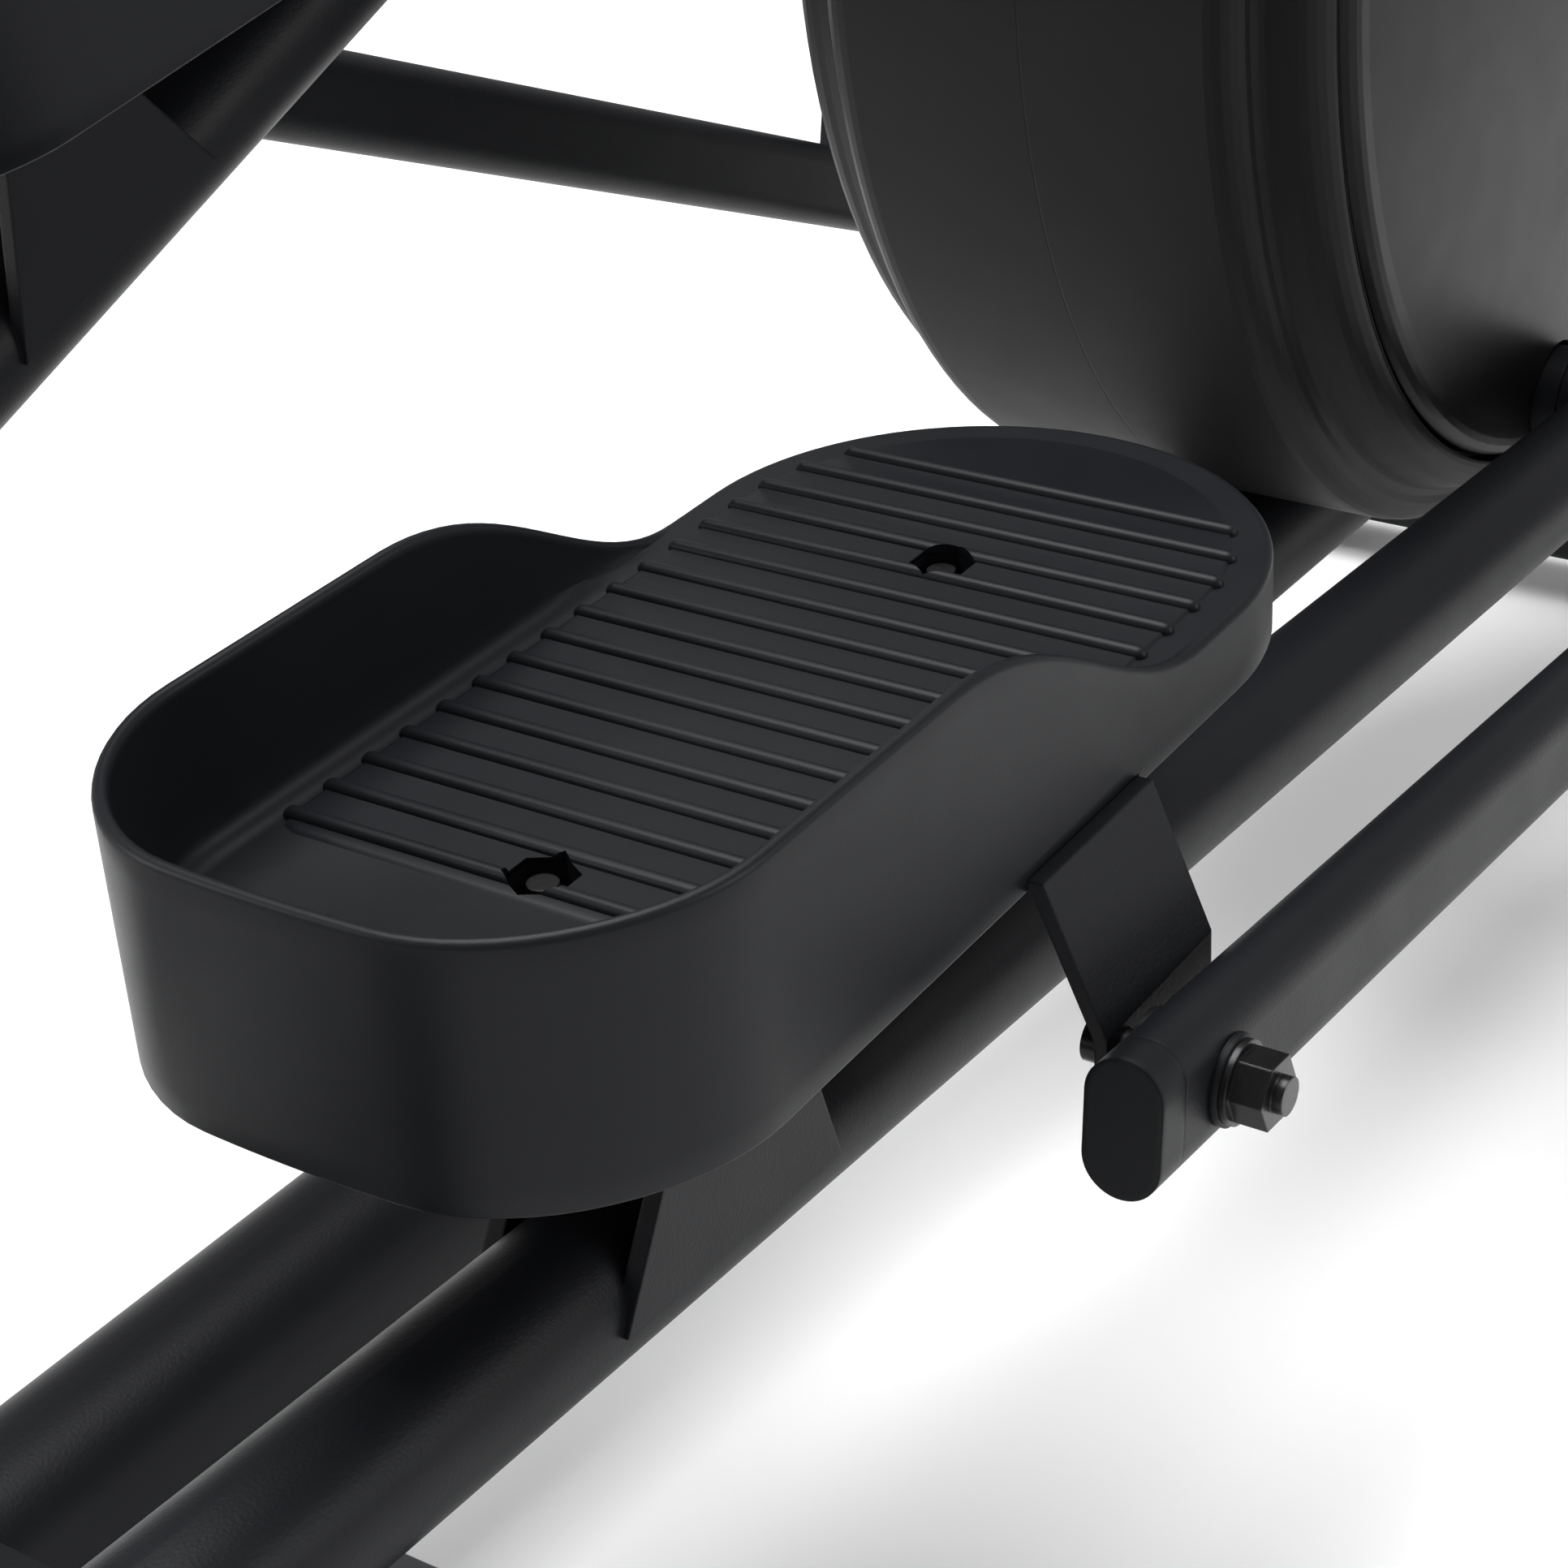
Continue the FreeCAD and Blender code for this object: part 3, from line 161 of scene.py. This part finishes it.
MATERIALS = {
    "powder_steel": grained("powder_steel", (0.0050, 0.0054, 0.0069), (0.0069, 0.0074, 0.0091),
                            (0.40, 0.50), 950.0, 0.00010, 0.0012),
    "pedal_plastic": grained("pedal_plastic", (0.0047, 0.0052, 0.0066), (0.0066, 0.0072, 0.0088),
                             (0.36, 0.46), 1600.0, 0.00003),
    "housing_plastic": grained("housing_plastic", (0.0047, 0.0047, 0.0050), (0.0060, 0.0060, 0.0066),
                               (0.42, 0.52), 2200.0, 0.00004, 0.001),
    "disc_plastic": grained("disc_plastic", (0.0041, 0.0041, 0.0044), (0.0052, 0.0052, 0.0055),
                            (0.34, 0.44), 2600.0, 0.00003, 0.001),
    "cap_plastic": grained("cap_plastic", (0.0044, 0.0050, 0.0060), (0.0063, 0.0069, 0.0083),
                           (0.38, 0.48), 1500.0, 0.00003, 0.0025),
    "black_zinc": grained("black_zinc", (0.020, 0.020, 0.022), (0.036, 0.035, 0.036),
                          (0.20, 0.36), 500.0, 0.00006, 0.0008, 0.85),
    "bright_steel": grained("bright_steel", (0.46, 0.47, 0.49), (0.56, 0.57, 0.59),
                            (0.22, 0.36), 900.0, 0.00002, 0.0005, 1.0),
    "track_aluminium": grained("track_aluminium", (0.50, 0.51, 0.53), (0.60, 0.61, 0.63),
                               (0.26, 0.40), 700.0, 0.00003, 0.0005, 1.0, 0.5, (0.03, 1, 1)),
    "roller_urethane": grained("roller_urethane", (0.014, 0.014, 0.015), (0.022, 0.022, 0.023),
                               (0.50, 0.62), 500.0, 0.00006, 0.001),
    "foam": grained("foam", (0.010, 0.010, 0.011), (0.016, 0.016, 0.017),
                    (0.80, 0.92), 650.0, 0.00035, 0.002),
    "flywheel_iron": grained("flywheel_iron", (0.16, 0.16, 0.17), (0.22, 0.22, 0.23),
                             (0.38, 0.52), 400.0, 0.00005, 0.001, 1.0),
    "belt_rubber": grained("belt_rubber", (0.010, 0.010, 0.010), (0.015, 0.015, 0.015),
                           (0.60, 0.72), 700.0, 0.0001),
    "screen_glass": screen_material(),
    "button_plastic": grained("button_plastic", (0.24, 0.25, 0.27), (0.28, 0.29, 0.31),
                              (0.40, 0.50), 900.0, 0.00003, 0.0015),
}


def paint(obj, slot):
    obj.data.materials.clear()
    obj.data.materials.append(MATERIALS[slot])


def paint_frame():
    slots = {entry["node"]: entry["material_slot"] for entry in frame["record"]["subparts"]}
    for node, obj in frame["nodes"].items():
        for material_slot in obj.material_slots:
            material_slot.material = MATERIALS[slots[node]]


# ---- mesh helpers --------------------------------------------------------------------------------
def make_piece(name, mesh, slot, body, *replaced):
    obj = bpy.data.objects.new(name, mesh)
    bpy.context.collection.objects.link(obj)
    paint(obj, slot)
    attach(obj, body)
    if replaced:
        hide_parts(*replaced)
    return obj


def mesh_from(name, verts, faces, smooth=True):
    mesh = bpy.data.meshes.new(name)
    mesh.from_pydata(verts, [], faces)
    bm = bmesh.new()
    bm.from_mesh(mesh)
    bmesh.ops.recalc_face_normals(bm, faces=bm.faces)
    bm.to_mesh(mesh)
    bm.free()
    for polygon in mesh.polygons:
        polygon.use_smooth = smooth
    return mesh


def sharpen(obj, degrees):
    with bpy.context.temp_override(object=obj, active_object=obj, selected_objects=[obj],
                                   selected_editable_objects=[obj]):
        bpy.ops.object.shade_smooth_by_angle(angle=math.radians(degrees))


# ---- pedals --------------------------------------------------------------------------------------
def outline(inset):
    """Points round the pedal: half-round toe, straight sides, rounded heel corners, bowed heel."""
    half = HALF_WIDTH - inset
    shoulder = TOE - HALF_WIDTH
    corner = max(HEEL_CORNER - inset, 4.0)
    back = -HEEL + HEEL_BOW + inset
    side_u = back + corner
    points = []
    for i in range(49):
        angle = math.radians(-90 + 180 * i / 48)
        points.append((shoulder + half * math.cos(angle), half * math.sin(angle)))
    for i in range(1, 40):
        points.append((shoulder + (side_u - shoulder) * i / 40, half))
    for i in range(17):
        angle = math.radians(90 * i / 16)
        points.append((side_u - corner * math.sin(angle), half - corner * (1 - math.cos(angle))))
    flat = half - corner
    for i in range(1, 12):
        v = flat * (1 - 2 * i / 12)
        points.append((back, v))
    for i in range(17):
        angle = math.radians(90 - 90 * i / 16)
        points.append((side_u - corner * math.sin(angle), -half + corner * (1 - math.cos(angle))))
    for i in range(1, 40):
        points.append((side_u + (shoulder - side_u) * i / 40, -half))
    bowed = []
    for u, v in points:
        pull = max(0.0, min(1.0, (side_u - u) / corner))
        bowed.append((u - HEEL_BOW * pull * (1 - (v / half) ** 2) ** 0.8, v))
    return bowed


def bezier(t, a, b, c, d):
    return (1 - t) ** 3 * a + 3 * (1 - t) ** 2 * t * b + 3 * (1 - t) * t * t * c + t ** 3 * d


def rim_height(u):
    """The wall's top edge: level round the heel, an S-curve down, then level with the floor."""
    start, end = RIM_CURVE[0], RIM_CURVE[-1]
    if u <= start:
        return RIM
    if u >= end:
        return FLOOR
    low, high = 0.0, 1.0
    for _ in range(30):
        t = (low + high) / 2
        low, high = (t, high) if bezier(t, *RIM_CURVE) < u else (low, t)
    return bezier((low + high) / 2, RIM, RIM, FLOOR, FLOOR)


def pedal_sections():
    """Stations across the wall: (inset, height as a function of the rim's height)."""
    def fixed(w):
        return lambda h: w

    def below_rim(drop):
        return lambda h: h - drop

    def inside(share, drop):
        return lambda h: FLOOR + share * max(0.0, h - drop - FLOOR)

    rows = [(WALL, fixed(FLOOR_UNDER)), (WALL, fixed(BOTTOM + 0.4)), (WALL - 0.4, fixed(BOTTOM)),
            (0.9, fixed(BOTTOM)), (0.3, fixed(BOTTOM + 0.35)), (0.0, fixed(BOTTOM + 1.0)),
            (0.0, fixed(BOTTOM + 8.0)), (0.0, below_rim(8.0)), (0.0, below_rim(2.0)),
            (0.25, below_rim(1.1)), (0.8, below_rim(0.4)), (1.7, below_rim(0.0)),
            (WALL - 1.4, inside(1.0, 0.0)), (WALL - 0.6, inside(1.0, 0.5)), (WALL - 0.1, inside(1.0, 1.4)),
            (WALL, inside(1.0, 3.0)), (WALL + 0.6, inside(0.6, 3.0)), (WALL + 1.2, inside(0.3, 3.0))]
    for i in range(5):
        angle = math.radians(90 * i / 4)
        reach = 6.0 * (1 - math.cos(angle))
        rise = 6.0 * (1 - math.sin(angle))
        rows.append((WALL + 1.4 + reach,
                     lambda h, rise=rise: FLOOR + min(rise, 0.25 * max(0.0, h - 3.0 - FLOOR))))
    return rows


def pan_mesh(name):
    rows = pedal_sections()
    count = len(outline(0))
    verts = []
    for inset, height in rows:
        for u, v in outline(inset):
            verts.append((u, v, height(rim_height(u))))
    faces = []
    for r in range(len(rows) - 1):
        for i in range(count):
            j = (i + 1) % count
            faces.append((r * count + i, r * count + j, (r + 1) * count + j, (r + 1) * count + i))
    faces.append(tuple(range(count)))
    last = (len(rows) - 1) * count
    faces.append(tuple(last + i for i in range(count)))
    return mesh_from(name, verts, faces)


def boss_ring(verts, faces, u):
    """A round boss under the floor, with a lip at its foot round the screw's hole."""
    start = len(verts)
    around = 32
    for w, r in BOSS_PROFILE:
        for i in range(around):
            angle = 2 * math.pi * i / around
            verts.append((u + r * math.cos(angle), r * math.sin(angle), w))
    for k in range(len(BOSS_PROFILE)):
        a = start + k * around
        b = start + (k + 1) % len(BOSS_PROFILE) * around
        for i in range(around):
            j = (i + 1) % around
            faces.append((a + i, a + j, b + j, b + i))


def bosses_mesh(name):
    verts = []
    faces = []
    for u in SCREWS:
        boss_ring(verts, faces, u)
    return mesh_from(name, verts, faces)


def rib_half(u):
    """Half the length of a rib, which follows the rounded toe."""
    centre = TOE - HALF_WIDTH
    if u <= centre:
        return RIB_HALF
    return math.sqrt(max(0.0, RIB_HALF ** 2 - (u - centre) ** 2))


def rib_piece(verts, faces, u, half):
    """A long rounded bar across the tread."""
    section = []
    for i in range(9):
        angle = math.pi * i / 8
        section.append((RIB_SECTION[0] * math.cos(angle), RIB_SECTION[1] * math.sin(angle) ** 0.8))
    stations = [(-half + depth, size) for depth, size in RIB_END]
    stations += [(half - depth, size) for depth, size in reversed(RIB_END)]
    rings = []
    for v, size in stations:
        rings.append(len(verts))
        for du, dw in section:
            verts.append((u + du * size, v, FLOOR - 0.3 + dw * size))
    n = len(section)
    for a, b in zip(rings, rings[1:]):
        for i in range(n):
            j = (i + 1) % n
            faces.append((a + i, a + j, b + j, b + i))
    faces.append(tuple(rings[0] + i for i in range(n)))
    faces.append(tuple(rings[-1] + i for i in range(n)))


def tread_border():
    """The tread pad's outline: half-round at the toe, small corners at the heel."""
    centre = TOE - HALF_WIDTH
    half = RIB_HALF - BORDER_INSET
    back = -(RIBS - 1) / 2 * RIB_PITCH - 6
    border = []
    for i in range(25):
        angle = math.radians(-90 + 180 * i / 24)
        border.append((centre + half * math.cos(angle), half * math.sin(angle)))
    corner = [(back + 6, half), (back + 1.8, half - 1.8), (back, half - 6)]
    return border + corner + [(u, -v) for u, v in reversed(corner)]


def tread_mesh(name):
    """The raised tread pad and its cross ribs."""
    verts = []
    faces = []
    for i in range(RIBS):
        u = (i - (RIBS - 1) / 2) * RIB_PITCH
        rib_piece(verts, faces, u, rib_half(u))
    centre = TOE - HALF_WIDTH
    border = tread_border()
    base = len(verts)
    n = len(border)
    for w, grow in ((FLOOR - 0.5, 1.006), (FLOOR + 0.5, 1.0), (FLOOR + 0.8, 0.994)):
        for u, v in border:
            verts.append((centre + (u - centre) * grow, v * grow, w))
    for r in range(2):
        for i in range(n):
            j = (i + 1) % n
            faces.append((base + r * n + i, base + r * n + j, base + (r + 1) * n + j, base + (r + 1) * n + i))
    faces.append(tuple(base + i for i in range(n)))
    faces.append(tuple(base + 2 * n + i for i in range(n)))
    return mesh_from(name, verts, faces)


def prism(corners, low, high):
    """A closed prism object used to cut another mesh."""
    n = len(corners)
    verts = [(x, y, low) for x, y in corners] + [(x, y, high) for x, y in corners]
    faces = [tuple(range(n)), tuple(range(n, 2 * n))]
    faces += [(i, (i + 1) % n, n + (i + 1) % n, n + i) for i in range(n)]
    obj = bpy.data.objects.new("cutter", mesh_from("cutter", verts, faces, False))
    bpy.context.collection.objects.link(obj)
    return obj


def cut_away(obj, cutters):
    for cutter in cutters:
        mod = obj.modifiers.new("cut", "BOOLEAN")
        mod.operation = "DIFFERENCE"
        mod.solver = "EXACT"
        mod.use_self = True
        mod.object = cutter
    deps = bpy.context.evaluated_depsgraph_get()
    mesh = bpy.data.meshes.new_from_object(obj.evaluated_get(deps))
    obj.modifiers.clear()
    obj.data = mesh
    for cutter in cutters:
        bpy.data.objects.remove(cutter)


def screw_cutters(low):
    """Six-sided prisms over both screws, from the given height up."""
    return [prism(hex_corners(u), low, 10) for u in SCREWS]


def hex_corners(u):
    reach = SCREW_RECESS / math.sqrt(3)
    return [(u + reach * math.sin(math.radians(60 * i + 30)), reach * math.cos(math.radians(60 * i + 30)))
            for i in range(6)]


def pedal_matrix(name, side, tilt):
    """Pedal frame in millimetres, mirrored on the left, to the trainer's frame in metres."""
    joint = next(j for j in frame["joints"] if j["name"] == name + "_pedal_tilt")
    x, _, z = joint["pos_m"]
    to_pivot = Matrix.Translation((-PIVOT_U, -PEDAL_LATERAL, -PIVOT_W))
    mirror = Matrix.Diagonal((1, -side, 1, 1))
    turn = Matrix.Rotation(math.radians(-tilt), 4, "Y")
    return Matrix.Translation((x, 0, z)) @ turn @ Matrix.Scale(MM, 4) @ mirror @ to_pivot


def settle(obj, matrix):
    obj.data.transform(matrix)
    if matrix.determinant() < 0:
        obj.data.flip_normals()
    obj.data.update()


def ear_notch():
    """Where the bent plate's ear passes under the wall on the outer side."""
    outer = -HALF_WIDTH - 2
    inner = -HALF_WIDTH + WALL + 1
    corners = [(EAR_U - EAR_HALF, outer), (EAR_U + EAR_HALF, outer),
               (EAR_U + EAR_HALF, inner), (EAR_U - EAR_HALF, inner)]
    return prism(corners, BOTTOM - 2, BOTTOM + 4)


def pedals():
    for name, side, tilt in SIDES:
        body = name + "_pedal"
        pan = make_piece(name + "_pan", pan_mesh("pan"), "pedal_plastic", body, name + "_pedal")
        tread = make_piece(name + "_tread", tread_mesh("tread"), "pedal_plastic", body, name + "_pedal")
        bosses = make_piece(name + "_screw_bosses", bosses_mesh("bosses"), "pedal_plastic", body)
        cut_away(pan, screw_cutters(FLOOR_UNDER - 1) + [ear_notch()])
        cut_away(tread, screw_cutters(FLOOR - 3.5))
        matrix = pedal_matrix(name, side, tilt)
        for obj in (pan, tread, bosses):
            paint(obj, "pedal_plastic")
            settle(obj, matrix)
            sharpen(obj, 40)


# ---- stage ---------------------------------------------------------------------------------------
def floor():
    mat, tree, shader = new_material("floor", (0.93, 0.93, 0.93), 0.7)
    tree.links.new(ramp(tree, noise(tree, 2.0), (0.92, 0.92, 0.92), (0.95, 0.95, 0.95)),
                   shader.inputs["Base Color"])
    mesh = bpy.data.meshes.new("floor")
    corners = [(-1, -1), (1, -1), (1, 1), (-1, 1)]
    mesh.from_pydata([(x * FLOOR_REACH, y * FLOOR_REACH, 0) for x, y in corners], [], [(0, 1, 2, 3)])
    obj = bpy.data.objects.new("floor", mesh)
    bpy.context.collection.objects.link(obj)
    obj.data.materials.append(mat)


def area_light(name, place, target, size, power):
    data = bpy.data.lights.new(name, "AREA")
    data.size = size
    data.energy = power
    obj = bpy.data.objects.new(name, data)
    obj.location = place
    obj.rotation_euler = (Vector(target) - Vector(place)).to_track_quat("-Z", "Y").to_euler()
    bpy.context.collection.objects.link(obj)


def lights():
    world = bpy.data.worlds.new("studio")
    world.use_nodes = True
    background = world.node_tree.nodes["Background"]
    background.inputs["Color"].default_value = (1, 1, 1, 1)
    background.inputs["Strength"].default_value = WORLD_STRENGTH
    bpy.context.scene.world = world
    area_light("overhead", (0.2, 0.6, 4.2), (0, 0, 0.2), 3.0, 270)
    area_light("side", (-2.2, 3.0, 2.0), (0, 0, 0.3), 1.6, 60)
    area_light("front", (1.2, -3.2, 1.8), (0, 0, 0.3), 1.4, 40)


def camera():
    """Standing behind the right pedal and outside it, looking forward, inward and down."""
    forward = Vector(CAMERA_FORWARD).normalized()
    right = forward.cross(Vector((0, 0, 1))).normalized()
    up = right.cross(forward)
    data = bpy.data.cameras.new("camera")
    data.lens = CAMERA_LENS
    data.sensor_width = CAMERA_SENSOR
    data.clip_start = 0.02
    obj = bpy.data.objects.new("camera", data)
    matrix = Matrix((right, up, -forward)).transposed().to_4x4()
    matrix.translation = Vector(CAMERA_PLACE)
    obj.matrix_world = matrix
    bpy.context.collection.objects.link(obj)
    bpy.context.scene.camera = obj
    bpy.context.scene.view_settings.view_transform = "Standard"


paint_frame()
camera()
pedals()
floor()
lights()
